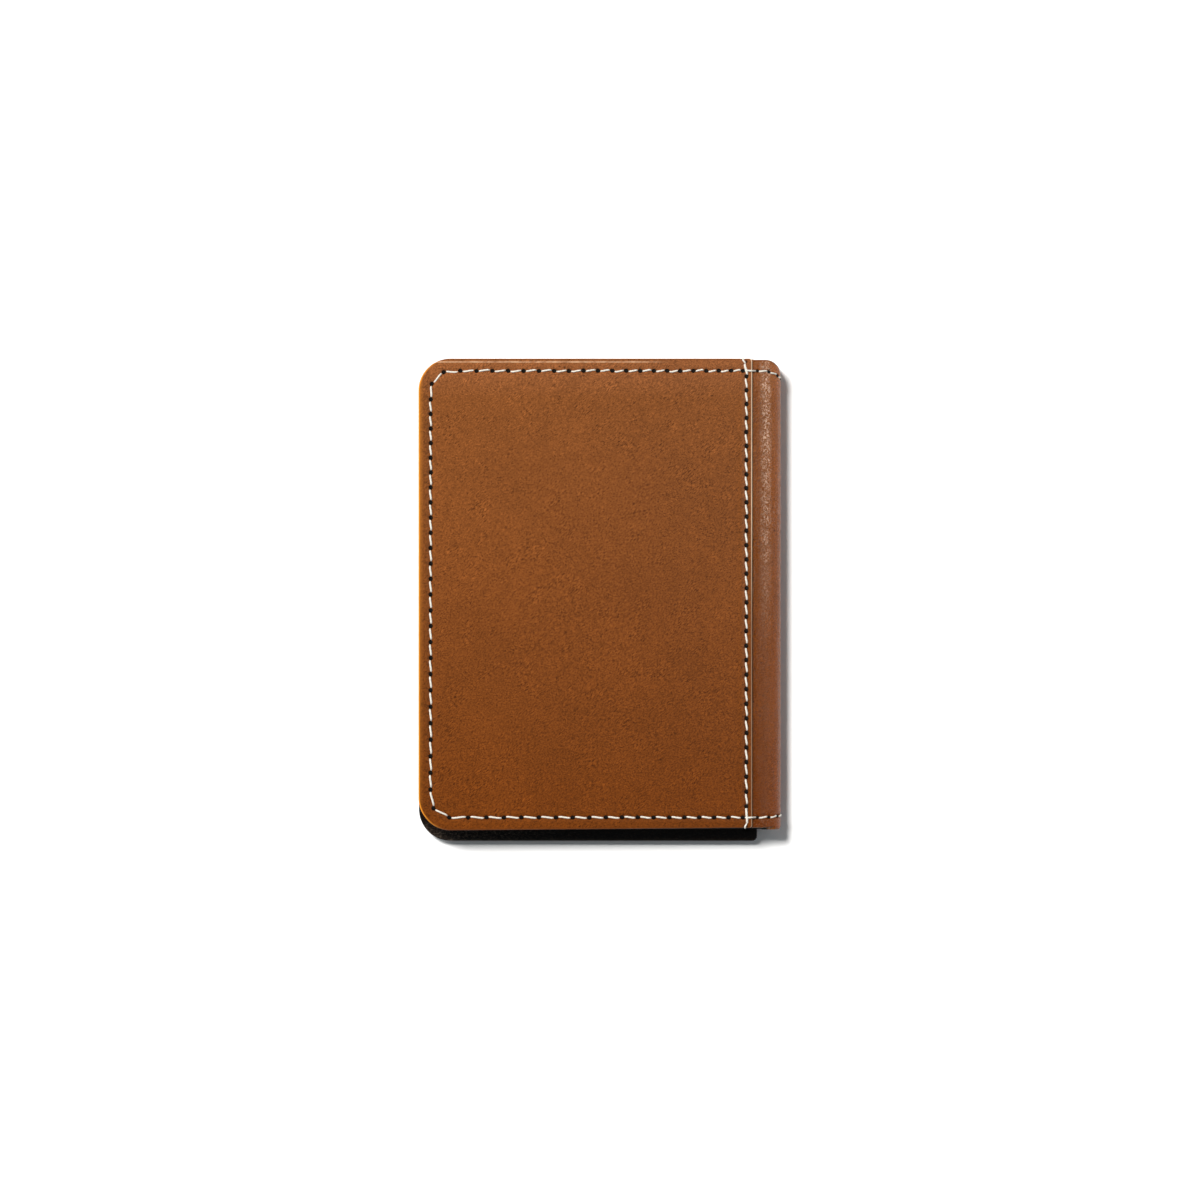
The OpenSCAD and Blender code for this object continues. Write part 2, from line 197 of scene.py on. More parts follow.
def stack_faces(points, hoop):
    rings, n = points.shape[:2]
    ids = np.arange(rings * n).reshape(rings, n)
    first = ids if hoop else ids[:-1]
    second = np.roll(ids, -1, 0) if hoop else ids[1:]
    quads = np.stack([first, np.roll(first, -1, 1), np.roll(second, -1, 1), second], -1).reshape(-1, 4)
    faces = quads.tolist()
    if not hoop:
        faces += [ids[0][::-1].tolist(), ids[-1].tolist()]
    flat = points.reshape(-1, 3)
    centred = flat - flat.mean(0)
    volume = 0.0
    for a, b, c in ((0, 1, 2), (0, 2, 3)):
        volume += np.einsum("ij,ij->i", centred[quads[:, a]],
                            np.cross(centred[quads[:, b]], centred[quads[:, c]])).sum()
    if volume < 0:
        faces = [f[::-1] for f in faces]
    return faces


def piece(name, stacks, look, replaced=()):
    """One mesh object from stacks, with their attributes, standing for the CAD nodes named."""
    faces, vertices = [], []
    count = 0
    for s in stacks:
        faces += [[i + count for i in f] for f in stack_faces(s["points"], s["hoop"])]
        vertices.append(s["points"].reshape(-1, 3))
        count += len(vertices[-1])
    mesh = bpy.data.meshes.new(name)
    mesh.from_pydata((np.concatenate(vertices) * MM).tolist(), [], faces)
    for key in stacks[0]["attributes"]:
        parts = [s["attributes"][key].reshape(len(v), -1) for s, v in zip(stacks, vertices)]
        values = np.concatenate(parts).astype(np.float32)
        wide = values.shape[1] == 3
        layer = mesh.attributes.new(key, "FLOAT_VECTOR" if wide else "FLOAT", "POINT")
        layer.data.foreach_set("vector" if wide else "value", values.ravel())
    mesh.polygons.foreach_set("use_smooth", np.ones(len(mesh.polygons), bool))
    mesh.set_sharp_from_angle(angle=math.radians(50))
    mesh.materials.append(look)
    made = bpy.data.objects.new(name, mesh)
    bpy.context.scene.collection.objects.link(made)
    if replaced:
        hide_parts(*replaced)
    return made


def smooth(t):
    t = np.clip(t, 0, 1)
    return t * t * (3 - 2 * t)


def bell(distance, width):
    return np.exp(-(distance / width) ** 2)


def from_track(xy, track):
    """Distance from each point to a line through the track's points."""
    best = np.full(xy.shape[:-1], np.inf)
    for a, b in zip(track[:-1], track[1:]):
        way = b - a
        share = np.clip(((xy - a) @ way) / (way @ way), 0, 1)
        best = np.minimum(best, np.linalg.norm(xy - a - share[..., None] * way, axis=-1))
    return best


def from_holes(xy, holes):
    """Distance from each point to the nearest hole."""
    best = np.full(xy.shape[:-1], np.inf)
    for hole in holes:
        best = np.minimum(best, np.hypot(xy[..., 0] - hole[0], xy[..., 1] - hole[1]))
    return best


def seam_relief(xy, tracks, holes, strength):
    """How far the leather is pressed in along seams, and how black it is at their holes."""
    d = np.full(xy.shape[:-1], np.inf)
    for track in tracks:
        d = np.minimum(d, from_track(xy, track))
    pressed = groove_d * bell(d, groove_w) - ridge_h * bell(d - ridge_gap, ridge_w)
    d = from_holes(xy, holes)
    return (pressed + dimple_d * bell(d, dimple_w)) * strength, np.exp(-(d / hole_r) ** 4)


# Each wave is its radians per mm, its direction and its phase
waves = [(rng.uniform(0.12, 0.42), rng.uniform(0, math.tau), rng.uniform(0, math.tau)) for _ in range(9)]


def undulation(x, y):
    """The leather's slow rise and fall, in mm."""
    total = 0.0
    for k, turn, phase in waves:
        total = total + np.sin(k * (x * math.cos(turn) + y * math.sin(turn)) + phase) / (k * 10)
    return total * 0.028


# Near the top of the undulation: measured down from here, it lowers the face and hardly ever raises it
crest = 0.0022 * sum(1 / k for k, _, _ in waves)


# ------------------------------------------------------------ flat leathers

fine_margin = 5.0    # a sheet's mesh is fine this far in from its edges
coarse_step = 1.6


def outline_counts(x0, x1, y0, y1, radii, step):
    """How many steps each corner and each side of an outline takes."""
    sides = [x1 - x0, y1 - y0, x1 - x0, y1 - y0]
    return [(max(4, round(r * math.pi / 2 / step)), round(s / step)) for r, s in zip(radii, sides)]


def outline(x0, x1, y0, y1, radii, inset, counts):
    """A rounded rectangle's outline moved inwards, from the low-x low-y corner round by low y."""
    corners = ((x0, y0, 1, 1), (x1, y0, -1, 1), (x1, y1, -1, -1), (x0, y1, 1, -1))
    arcs = []
    for k, (cx, cy, sx, sy) in enumerate(corners):
        r = max(radii[k] - inset, radii[k] / 4)
        turns = np.radians(180 + 90 * k + np.linspace(0, 90, counts[k][0] + 1))
        arcs.append(np.stack([cx + sx * (inset + r) + r * np.cos(turns),
                              cy + sy * (inset + r) + r * np.sin(turns)], -1))
    points = []
    for k in range(4):
        a, b = arcs[k][-1], arcs[(k + 1) % 4][0]
        share = np.linspace(0, 1, counts[k][1] + 1)[1:-1, None]
        points += [arcs[k], a + (b - a) * share]
    return np.concatenate(points)


def leather_sheet(side, rect, radii, face, back, step, round_r, tracks, holes, strength=1.0, window=None,
                  wavy=0.0, notches=()):
    """A sheet between two depths, detailed on its face side. The rim attribute is 1 on its cut edge."""
    t = abs(back - face)
    inward = 1 if back > face else -1
    counts = outline_counts(*rect, radii, step)
    turns = np.radians(np.linspace(0, 90, 6))
    edge = [(round_r * (1 - math.sin(a)), round_r * (1 - math.cos(a)), a / (math.pi / 2)) for a in turns]
    reach = fine_margin if window else min(rect[1] - rect[0], rect[3] - rect[2]) / 2 - 1.5
    insets = [*np.arange(round_r + step, fine_margin, step), *np.arange(fine_margin, reach, coarse_step)]
    profile = [(i, 0.0, 0.0) for i in insets[::-1]] + edge
    profile += [(0.0, t - 0.15, 1.0), (0.045, t - 0.045, 1.0), (0.15, t, 1.0), (0.4, t, 1.0), (4.0, t, 0.0)]
    rings = [np.column_stack([outline(*rect, radii, i, counts), np.full(sum(map(sum, counts)), z)])
             for i, z, _ in profile]
    rims = [r for _, _, r in profile]
    if window:
        x0, x1, y0, y1, r = window
        hole_profile = [(-0.15, t, 0.0), (0.0, t - 0.1, 1.0), (0.0, round_r, 1.0)]
        hole_profile += [(-i, z, 1.0 - k / 5) for k, (i, z, _) in enumerate(edge[::-1])][1:]
        hole_profile += [(-i, 0.0, 0.0) for i in (0.7, 1.0, 1.6, 2.6)]
        for i, z, rim in hole_profile:
            rings.append(np.column_stack([outline(x0, x1, y0, y1, [r] * 4, i, counts),
                                          np.full(sum(map(sum, counts)), z)]))
            rims.append(rim)
    points = np.array(rings)
    rim = np.repeat(np.array(rims)[:, None], points.shape[1], 1)
    pressed, black = seam_relief(points[..., :2], tracks, holes, strength)
    top = np.clip(1 - points[..., 2] / t, 0, 1) ** 2
    heave = wavy * (undulation(points[..., 0], points[..., 1]) - crest)
    for nx, ny in notches:
        near = bell(points[..., 0] - nx, 0.33) * bell(points[..., 1] - ny, 0.5)
        points[..., 1] -= notch_d * math.copysign(1, ny) * near
    points[..., 2] = face + inward * (points[..., 2] + top * (pressed - heave))
    if face == 0:
        points[..., 2] = np.maximum(points[..., 2], 0.0)
    edge_side = smooth((points[..., 0] - (rect[1] - 0.42)) / 0.06)
    return stack(placed(points, side), bool(window), skin=unfolded(points, side), rim=rim,
                 hole=black * top, cut=edge_side)


# -------------------------------------------------- leathers round the fold

def rounded_off(x, r):
    """What a corner of radius r takes off an end, at a distance x past the corner's centre."""
    return r - np.sqrt(np.clip(r ** 2 - np.clip(x, 0, r) ** 2, 0, None))


def plan_limits(x, x0, r_free):
    """The tail and head ends of a leather that wraps the fold, at a plan position x."""
    free = rounded_off(x0 + r_free - x, r_free)
    head = rounded_off(x - (fold_max_x - relief_r), relief_r)
    tail = rounded_off(x - (fold_max_x - tail_relief_r), tail_relief_r)
    return tail_y + free + tail, head_y - cover_head_drop - free - head


def row_y(end, angle):
    """Where the head or tail seam runs round the fold, at an angle in degrees."""
    lean = np.sin(np.radians(angle)) ** 3
    return head_seam_y - fold_head_draw * lean if end == "head" else tail_seam_y + fold_tail_draw * lean


row_holes = [(fold_x + bend_r * math.radians(angle), row_y(end, angle))
             for angle in (0, 30, 60, 90) for end in ("head", "tail")]


def fold_strip(side, stations, x0, r_free, outer, t, detail):
    """A leather of thickness t, lofted along the fold's curve. Each station is (plan x, angle, shrink), and
    outer is how far the leather's outer face lies below the cover's outer face."""
    soft = min(0.3, t / 3)
    ends = [(0.0, -t / 2), (0.0, -soft), (0.3 * soft, -0.3 * soft), (soft, 0.0)]
    reach = head_y - tail_y
    near = np.arange(soft + 0.2, 5.4, 0.2)
    far = np.arange(5.8, reach / 2, 0.6)
    faces = [(i, 0.0) for i in np.concatenate([near, far])]
    low = ends + faces
    under = [(i, -t) for i in (20.0, 3.0, 0.5, 0.12)] + [(0.0, -t + 0.12)]
    rings, alongs, rims = [], [], []
    for x, angle, shrink in stations:
        turn = math.radians(angle)
        row = []
        halves = ((low, 0), (low[::-1], 1), (under[::-1], 1), (under, 0))
        for part, at_head in halves:
            for inset, h in part:
                level = outer + shrink - h * (1 - 2 * shrink / t)
                r = bend_r - level
                px = x + r * math.sin(turn)
                limits = plan_limits(px, x0, r_free)
                y = limits[1] - inset if at_head else limits[0] + inset
                row.append((px, y, level, h, inset))
        rings.append(row)
        alongs.append(x + bend_r * turn)
        rims.append([1.0 if inset < soft else 0.0 for _, _, _, _, inset in row])
    data = np.array(rings)
    along = np.repeat(np.array(alongs)[:, None], data.shape[1], 1)
    turns = np.radians([s[1] for s in stations])[:, None]
    flat_x = np.array([s[0] for s in stations])[:, None]
    level = data[..., 2]
    rim = np.array(rims)
    black = np.zeros(level.shape)
    if detail:
        top = np.clip(1 + data[..., 3] / t, 0, 1) ** 2
        place = np.stack([along, data[..., 1]], -1)
        angle = np.clip((along - fold_x) / bend_r, 0, math.pi / 2)
        d = np.minimum(abs(data[..., 1] - row_y("head", np.degrees(angle))),
                       abs(data[..., 1] - row_y("tail", np.degrees(angle))))
        holes = from_holes(place, row_holes)
        black = np.exp(-(holes / fold_hole_r) ** 4) * top
        pressed = fold_groove_d * bell(d, fold_groove_w) + fold_dimple_d * bell(holes, dimple_w)
        middle = smooth((data[..., 1] - tail_y - 3) / 8) * smooth((head_y - 4 - data[..., 1]) / 8)
        creases = 0
        for s, width, height in fold_creases:
            waver = 0.5 * np.sin(data[..., 1] * 0.11 + s * 9) + 0.2 * np.sin(data[..., 1] * 0.37 + s * 5)
            creases = creases + height * bell(along - fold_x - s - waver, width)
        ripple = 0.012 * np.sin(data[..., 1] * 1.3 + along * 2.1) * np.sin(data[..., 1] * 0.31 + 1)
        level = level + top * (pressed + middle * (creases + ripple))
    r = bend_r - level
    points = np.stack([flat_x + r * np.sin(turns), data[..., 1], cover_d + bend_r - r * np.cos(turns)], -1)
    skin = unfolded(points, side, along)
    skin[..., 2] = level
    return stack(placed(points, side), skin=skin, rim=rim, hole=black, cut=rim * 0)


def free_stations(x0, x_last, r_free, t):
    """Stations from a rounded free edge to a plan position."""
    edge = [(0.0, t / 2 - 0.06), (0.04, 0.15), (0.12, 0.05), (0.25, 0.0)]
    xs = [x0 + r_free * (1 - math.cos(a)) for a in np.radians(np.arange(12, 91, 6))]
    stations = [(x0 + d, 0, shrink) for d, shrink in edge] + [(x, 0, 0.0) for x in xs if x > x0 + 0.3]
    inner = np.arange(x0 + r_free + 4, x_last - 0.5, 4.5)
    return stations + [(x, 0, 0.0) for x in inner] + [(x_last, 0, 0.0)]


# ------------------------------------------------------------------ threads

ply_sides = 15
twist_length = 2.3
end_taper = 0.72     # a stitch's thickness at its ends, as a share of its middle
hole_sink = 0.42     # how far a stitch's ends go down into their holes
loop_size = (0.52, 0.45, 0.22)
fold_loop_size = (0.4, 0.34, 0.2)


def cord(path, up, d):
    """A twisted cord of three plies along a path, with up the direction away from the leather."""
    ahead = np.gradient(path, axis=0)
    ahead /= np.linalg.norm(ahead, axis=1)[:, None]
    across = np.cross(ahead, up)
    across /= np.linalg.norm(across, axis=1)[:, None]
    lift = np.cross(across, ahead)
    steps = np.linalg.norm(np.diff(path, axis=0), axis=1)
    length = np.concatenate([[0], np.cumsum(steps)])
    ends = np.minimum(length, length[-1] - length)
    size = d / 2 * (end_taper + (1 - end_taper) * smooth(ends / 0.35))
    turn = np.linspace(0, math.tau, ply_sides, endpoint=False)
    ply = 0.86 + 0.16 * abs(np.cos(1.5 * turn))
    angle = turn[None] + length[:, None] * math.tau / twist_length + rng.uniform(0, math.tau)
    radius = (size[:, None] * ply[None])[..., None]
    points = path[:, None] + radius * (np.cos(angle)[..., None] * across[:, None]
                                       + np.sin(angle)[..., None] * lift[:, None])
    skin = np.stack([length[:, None] + 0 * angle, np.repeat(turn[None], len(path), 0),
                     path[:, :1] + 0 * angle], -1)
    return stack(points, skin=skin)


def arch(u):
    """A stitch's height along its length: flat on top and steep at its ends."""
    return 1 - abs(2 * u - 1) ** 4.5


def stitch_path(a, b, face, lift, slant, gap, waver=0.0):
    """(x, y, depth) along one stitch from hole a to hole b."""
    way = np.array(b) - np.array(a)
    length = np.linalg.norm(way)
    ahead = way / length
    across = np.array([ahead[1], -ahead[0]])
    if across[0] < -0.5 or (abs(across[0]) <= 0.5 and across[1] < 0):
        across = -across
    u = np.linspace(0, 1, 23)
    rise = arch(u)
    reach = (u - 0.5) * (length - gap)
    down = -1 if ahead[1] > 0 else 1
    lateral = slant * np.sin((u - 0.5) * math.pi) * down + waver * rise
    xy = (np.array(a) + np.array(b)) / 2 + reach[:, None] * ahead + lateral[:, None] * across
    return np.column_stack([xy, face + hole_sink * (1 - rise) - lift * rise])


def through(points, n):
    """A smooth path through points, n steps to each span."""
    p = np.array(points, float)
    p = np.concatenate([[2 * p[0] - p[1]], p, [2 * p[-1] - p[-2]]])
    out = []
    for k in range(1, len(p) - 2):
        u = np.linspace(0, 1, n, endpoint=k == len(p) - 3)[:, None]
        a, b, c, e = p[k - 1:k + 3]
        out.append(0.5 * (2 * b + (c - a) * u + (2 * a - 5 * b + 4 * c - e) * u ** 2
                          + (3 * b - a - 3 * c + e) * u ** 3))
    return np.concatenate(out)


def bead(centre, ahead, up, size):
    """A small rounded knot."""
    across = np.cross(ahead, up)
    v = np.radians(np.linspace(-78, 78, 8))[:, None]
    w = np.linspace(0, math.tau, 12, endpoint=False)[None]
    local = (np.sin(v) + 0 * w, np.cos(v) * np.cos(w), np.cos(v) * np.sin(w))
    points = np.array(centre) + sum(s * c[..., None] * axis for s, c, axis
                                    in zip(size, local, (ahead, across, up)))
    return stack(points, skin=points.copy())


def up_of(side, n):
    """The outward direction of a leaf, n times."""
    return np.tile([0.0, 0.0, 1.0 if side == "front" else -1.0], (n, 1))


def leaf_thread(path, side, d):
    points = placed(path, side)
    return cord(points, up_of(side, len(points)), d)


def leaf_bead(hole, way, side, depth):
    ahead = np.array([way[0], way[1], 0.0]) / np.linalg.norm(way)
    jitter = rng.uniform(-0.05, 0.05, 2)
    centre = placed([hole[0] + jitter[0], hole[1] + jitter[1], depth], side)
    return bead(centre, ahead, up_of(side, 1)[0], loop_size)


def around_fold(side, end, angles, lift):
    """A path and its outward directions along a seam round the fold."""
    turns = np.radians(angles)
    r = bend_r + lift
    path = np.column_stack([fold_x + r * np.sin(turns), row_y(end, angles),
                            cover_d + bend_r - r * np.cos(turns)])
    up = np.column_stack([np.sin(turns), 0 * turns, -np.cos(turns)])
    if side == "front":
        up[:, 2] *= -1
    return placed(path, side), up


def fold_stitch(side, end, a, b, d, part=(0.0, 1.0)):
    """A stitch round the fold from hole angle a to b, or the part of it between two shares."""
    u = np.linspace(*part, 25)
    rise = arch(u)
    margin = 4.2    # degrees between a hole and the end of the stitch
    angles = a + margin + (b - a - 2 * margin) * u
    path, up = around_fold(side, end, angles, (d * 0.2) * rise - 0.5 * (1 - rise))
    path[:, 1] += 0.12 * np.sin((u - 0.5) * math.pi)
    return cord(path, up, d)


def fold_bead(side, end, angle):
    path, up = around_fold(side, end, np.array([angle - 1.0, angle + 1.0]), np.array([-0.05, -0.05]))
    ahead = path[1] - path[0]
    return bead(path.mean(0), ahead / np.linalg.norm(ahead), up[0], fold_loop_size)


# ---------------------------------------------------------------- materials

def material(name):
    made = bpy.data.materials.new(name)
    made.use_nodes = True
    made.node_tree.nodes.clear()
    return made, made.node_tree


def node(tree, kind, inputs=None, **settings):
    made = tree.nodes.new(kind)
    for key, value in settings.items():
        setattr(made, key, value)
    for key, value in (inputs or {}).items():
        if isinstance(value, bpy.types.NodeSocket):
            tree.links.new(value, made.inputs[key])
        else:
            made.inputs[key].default_value = value
    return made


def maths(tree, operation, a, b=0.0):
    return node(tree, "ShaderNodeMath", {0: a, 1: b}, operation=operation).outputs[0]


def times(tree, a, b):
    return maths(tree, "MULTIPLY", a, b)


def plus(tree, a, b):
    return maths(tree, "ADD", a, b)


def apart(tree, a, b):
    return maths(tree, "ABSOLUTE", maths(tree, "SUBTRACT", a, b))


def remap(tree, value, low, high, to_low=0.0, to_high=1.0):
    return node(tree, "ShaderNodeMapRange", {"Value": value, "From Min": low, "From Max": high,
                                             "To Min": to_low, "To Max": to_high}).outputs["Result"]


def mix(tree, share, a, b, blend="MIX"):
    made = node(tree, "ShaderNodeMix", data_type="RGBA", blend_type=blend)
    for key, value in ((0, share), (6, a), (7, b)):
        if isinstance(value, bpy.types.NodeSocket):
            tree.links.new(value, made.inputs[key])
        else:
            made.inputs[key].default_value = value
    return made.outputs[2]


def grey(tree, value):
    return node(tree, "ShaderNodeCombineColor", {0: value, 1: value, 2: value}).outputs[0]


def noise(tree, where, scale, detail=2.0, rough=0.5, distortion=0.0):
    return node(tree, "ShaderNodeTexNoise", {"Vector": where, "Scale": scale, "Detail": detail,
                                             "Roughness": rough, "Distortion": distortion}).outputs["Fac"]


def stretched(tree, where, scale):
    return node(tree, "ShaderNodeVectorMath", {0: where, 1: scale}, operation="MULTIPLY").outputs[0]


def strokes(tree, where, degrees, scale):
    """Coordinates for noise that runs in short strokes along a diagonal."""
    turn = (0.0, 0.0, math.radians(degrees))
    return node(tree, "ShaderNodeMapping", {"Vector": where, "Rotation": turn, "Scale": scale},
                vector_type="TEXTURE").outputs[0]


def attribute(tree, name, output="Fac"):
    return node(tree, "ShaderNodeAttribute", attribute_name=name).outputs[output]


def millimetres(tree):
    where = node(tree, "ShaderNodeTexCoord").outputs["Object"]
    return stretched(tree, where, (1000.0, 1000.0, 1000.0))


def finish(tree, colour, roughness, height, distance, **constants):
    bump = node(tree, "ShaderNodeBump", {"Height": height, "Distance": distance, "Strength": 1.0})
    shader = node(tree, "ShaderNodeBsdfPrincipled", {"Base Color": colour, "Roughness": roughness,
                                                     "Normal": bump.outputs[0]})
    for key, value in constants.items():
        shader.inputs[key.replace("_", " ")].default_value = value
    node(tree, "ShaderNodeOutputMaterial", {"Surface": shader.outputs[0]})


def tan_leather(name, fold=False):
    """Smooth vegetable-tanned leather with fine grain, cloudy colour, a burnished cut edge, and painted
    light, shade and highlights.
    """
    made, tree = material(name)
    skin = attribute(tree, "skin", "Vector")
    along = node(tree, "ShaderNodeSeparateXYZ", {0: skin}).outputs
    # Painted light: lighter towards the head, where the light falls stronger, and lighter again in a band by
    # the head edge
    headward_light = remap(tree, along["Y"], tail_y, head_y - 6)
    colour = mix(tree, headward_light, (0.121, 0.0300, 0.0032, 1), (0.172, 0.0545, 0.0130, 1))
    head_light_band = remap(tree, along["Y"], head_y - 9, head_y - 3, 0, 0.7)
    colour = mix(tree, head_light_band, colour, (0.215, 0.073, 0.0235, 1))

    # Clouds, grain and pores darken and lighten it
    cloud = noise(tree, skin, 0.055, 3.0, 0.55, 0.6)
    mottle = noise(tree, skin, 0.45, 4.0, 0.6)
    wrinkles = noise(tree, strokes(tree, skin, 42, (0.64, 0.22, 0.5)), 1.0, 2.0, 0.6, 0.5)
    pebbles = noise(tree, stretched(tree, skin, (2.7, 3.1, 2.7)), 1.0, 3.0, 0.75, 0.3)
    patches = remap(tree, noise(tree, skin, 0.16, 3.0, 0.6), 0.40, 0.60)
    grain = node(tree, "ShaderNodeMix", {0: patches, 2: pebbles, 3: wrinkles}, data_type="FLOAT").outputs[0]
    pores = node(tree, "ShaderNodeTexVoronoi", {"Vector": skin, "Scale": 1.5, "Randomness": 1.0})
    pore = remap(tree, pores.outputs["Distance"], 0.05, 0.24)
    shade = remap(tree, cloud, 0.3, 0.7, 0.93, 1.08)
    shade = times(tree, shade, remap(tree, mottle, 0.3, 0.7, 0.93, 1.07))
    shade = times(tree, shade, remap(tree, grain, 0.25, 0.75, 0.12, 1.90))
    shade = times(tree, shade, remap(tree, pore, 0, 1, 0.80, 1.02))
    # Painted shade: darker towards the fold, away from the light on the left
    shade = times(tree, shade, remap(tree, along["X"], free_x, panel_x, 1.04, 0.90))
    colour = mix(tree, 1.0, colour, grey(tree, shade), "MULTIPLY")

    from_fold = apart(tree, along["X"], fold_x + math.pi * bend_r / 2)
    if fold:
        # Painted light: the fold is painted lighter and warmer towards its middle, partly wear and partly
        # standing in for light the lamps don't give its outer side, and painted highlight flecks lie in a
        # band along it
        wear_and_painted_light = remap(tree, from_fold, 1.0, 7.0, 2.5, 0.95)
        colour = mix(tree, 1.0, colour, grey(tree, wear_and_painted_light), "MULTIPLY")
        colour = mix(tree, 1.0, colour, (1.0, 0.90, 0.70, 1), "MULTIPLY")
        # Painted highlight: light flecks in a band 6.3 mm from the middle of the fold, fading out towards the
        # tail
        from_glint_band = apart(tree, from_fold, 6.3)
        glint_speckle = noise(tree, stretched(tree, skin, (2.6, 2.2, 2.0)), 1.0, 2.0, 0.7, 0.8)
        painted_glints = remap(tree, glint_speckle, 0.48, 0.62, 0.0, 0.88)
        painted_glints = times(tree, painted_glints, remap(tree, from_glint_band, 0.2, 1.6, 1.0, 0.0))
        painted_glints = times(tree, painted_glints, remap(tree, along["Y"], -10, 34, 0.0, 1.0))
        painted_glints = times(tree, painted_glints, remap(tree, mottle, 0.35, 0.6, 0.35, 1.0))
        colour = mix(tree, painted_glints, colour, (0.80, 0.56, 0.40, 1))

    # The cut edges are burnished dark, and bright orange along the free edge: partly raw leather, partly a
    # painted highlight from the light on the left
    rim = attribute(tree, "rim")
    free_edge = remap(tree, from_fold, skin_reach - 5.5, skin_reach - 0.7)
    edge_spots = noise(tree, stretched(tree, skin, (0.6, 0.6, 3.0)), 1.0, 3.0, 0.6)
    orange_and_highlight = mix(tree, edge_spots, (0.50, 0.155, 0.006, 1), (0.74, 0.29, 0.03, 1))
    edge = mix(tree, free_edge, (0.15, 0.042, 0.009, 1), orange_and_highlight)
    edge = mix(tree, remap(tree, rim, 0.86, 1.0, 0.0, 0.8), edge, (0.21, 0.075, 0.018, 1))
    # Painted highlight: a lighter orange band at the free edge, where the light from the left falls, stronger
    # towards the head
    rim_highlight = remap(tree, from_fold, skin_reach - 1.2, skin_reach - 0.35, 0.0, 0.5)
    rim_highlight = times(tree, rim_highlight, remap(tree, along["Y"], tail_y, head_y - 20, 0.3, 1.0))
    margin = remap(tree, from_fold, skin_reach - 2.9, skin_reach - 2.3, 1.0, 0.86)
    colour = mix(tree, 1.0, colour, grey(tree, margin), "MULTIPLY")
    colour = mix(tree, rim_highlight, colour, (0.42, 0.145, 0.020, 1))
    colour = mix(tree, remap(tree, rim, 0.06, 0.4), colour, edge)
    if not fold:
        # A painted highlight on the crest of a crease just inside the front panel's head edge, and the raw
        # cream edges that face the fold, with a painted highlight on them that fades towards the tail
        crease_highlight = apart(tree, along["Y"], head_y - 0.75)
        crease_highlight = remap(tree, crease_highlight, 0.1, 0.24, 1.0, 0.0)
        crease_highlight = times(tree, crease_highlight, remap(tree, along["X"], 8, 16, 1.0, 0.0))
        crease_highlight = times(tree, crease_highlight, remap(tree, mottle, 0.35, 0.6, 0.15, 0.75))
        colour = mix(tree, crease_highlight, colour, (0.55, 0.33, 0.19, 1))
        # Painted highlight on the cut edges that face the fold, over their raw cream colour, fading towards
        # the tail
        cream_and_highlight = times(tree, attribute(tree, "cut"), remap(tree, along["Y"], -5, 22, 0.3, 1.0))
        cream_and_highlight = times(tree, cream_and_highlight, remap(tree, rim, 0.25, 0.5))
        colour = mix(tree, cream_and_highlight, colour, (1.0, 0.74, 0.50, 1))
    colour = mix(tree, attribute(tree, "hole"), colour, (0.004, 0.003, 0.002, 1))

    fuzz = noise(tree, skin, 5.0, 2.0, 0.6)
    cells = node(tree, "ShaderNodeTexVoronoi", {"Vector": skin, "Scale": 2.4}, feature="SMOOTH_F1")
    height = plus(tree, times(tree, cells.outputs["Distance"], 0.6), times(tree, fuzz, 0.5))
    height = plus(tree, height, times(tree, grain, 0.5))
    if fold:
        streaks = noise(tree, strokes(tree, skin, 38, (0.42, 0.24, 1.0)), 1.0, 3.0, 0.6, 0.6)
        height = plus(tree, times(tree, height, 0.5), times(tree, streaks, 3.2))
        roughness = remap(tree, streaks, 0.35, 0.65, 0.22, 0.32)
        finish(tree, colour, roughness, height, 0.00006, Specular_IOR_Level=0.1)
    else:
        roughness = remap(tree, mottle, 0.3, 0.7, 0.5, 0.6)
        finish(tree, colour, roughness, height, 0.00005, Specular_IOR_Level=0.06)
    return made


def black_leather(name, colour, roughness, bump, skinned=True, scuffed=False):
    """Pebbled black leather. If scuffed, its tail edge is rubbed brown, most of all by the free edge."""
    made, tree = material(name)
    where = attribute(tree, "skin", "Vector") if skinned else millimetres(tree)
    mottle = noise(tree, where, 0.5, 4.0, 0.6)
    grain = noise(tree, where, 3.2, 3.0, 0.6)
    shade = remap(tree, mottle, 0.3, 0.7, 0.75, 1.25)
    shade = times(tree, shade, remap(tree, grain, 0.3, 0.7, 0.7, 1.3))
    painted = mix(tree, 1.0, (*colour, 1), grey(tree, shade), "MULTIPLY")
    cells = node(tree, "ShaderNodeTexVoronoi", {"Vector": where, "Scale": 1.25, "Smoothness": 0.4},
                 feature="SMOOTH_F1")
    height = plus(tree, times(tree, cells.outputs["Distance"], -1.0), times(tree, grain, 0.5))
    level = remap(tree, mottle, 0.3, 0.7, roughness - 0.06, roughness + 0.08)
    if scuffed:
        streaks = noise(tree, stretched(tree, where, (1.6, 3.6, 1.0)), 1.0, 5.0, 0.7, 0.8)
        place = node(tree, "ShaderNodeSeparateXYZ", {0: where}).outputs
        wear_and_painted_light = remap(tree, place["Y"], tail_y + 2, tail_y - 0.5)
        wear_and_painted_light = times(tree, wear_and_painted_light, remap(tree, place["X"], 90, 122, 0.15, 1.0))
        scuff = times(tree, remap(tree, streaks, 0.50, 0.62, 0.0, 1.0), wear_and_painted_light)
        painted = mix(tree, scuff, painted, (0.085, 0.064, 0.048, 1))
    finish(tree, painted, level, height, bump, Specular_IOR_Level=0.2 if scuffed else 0.35)
    return made


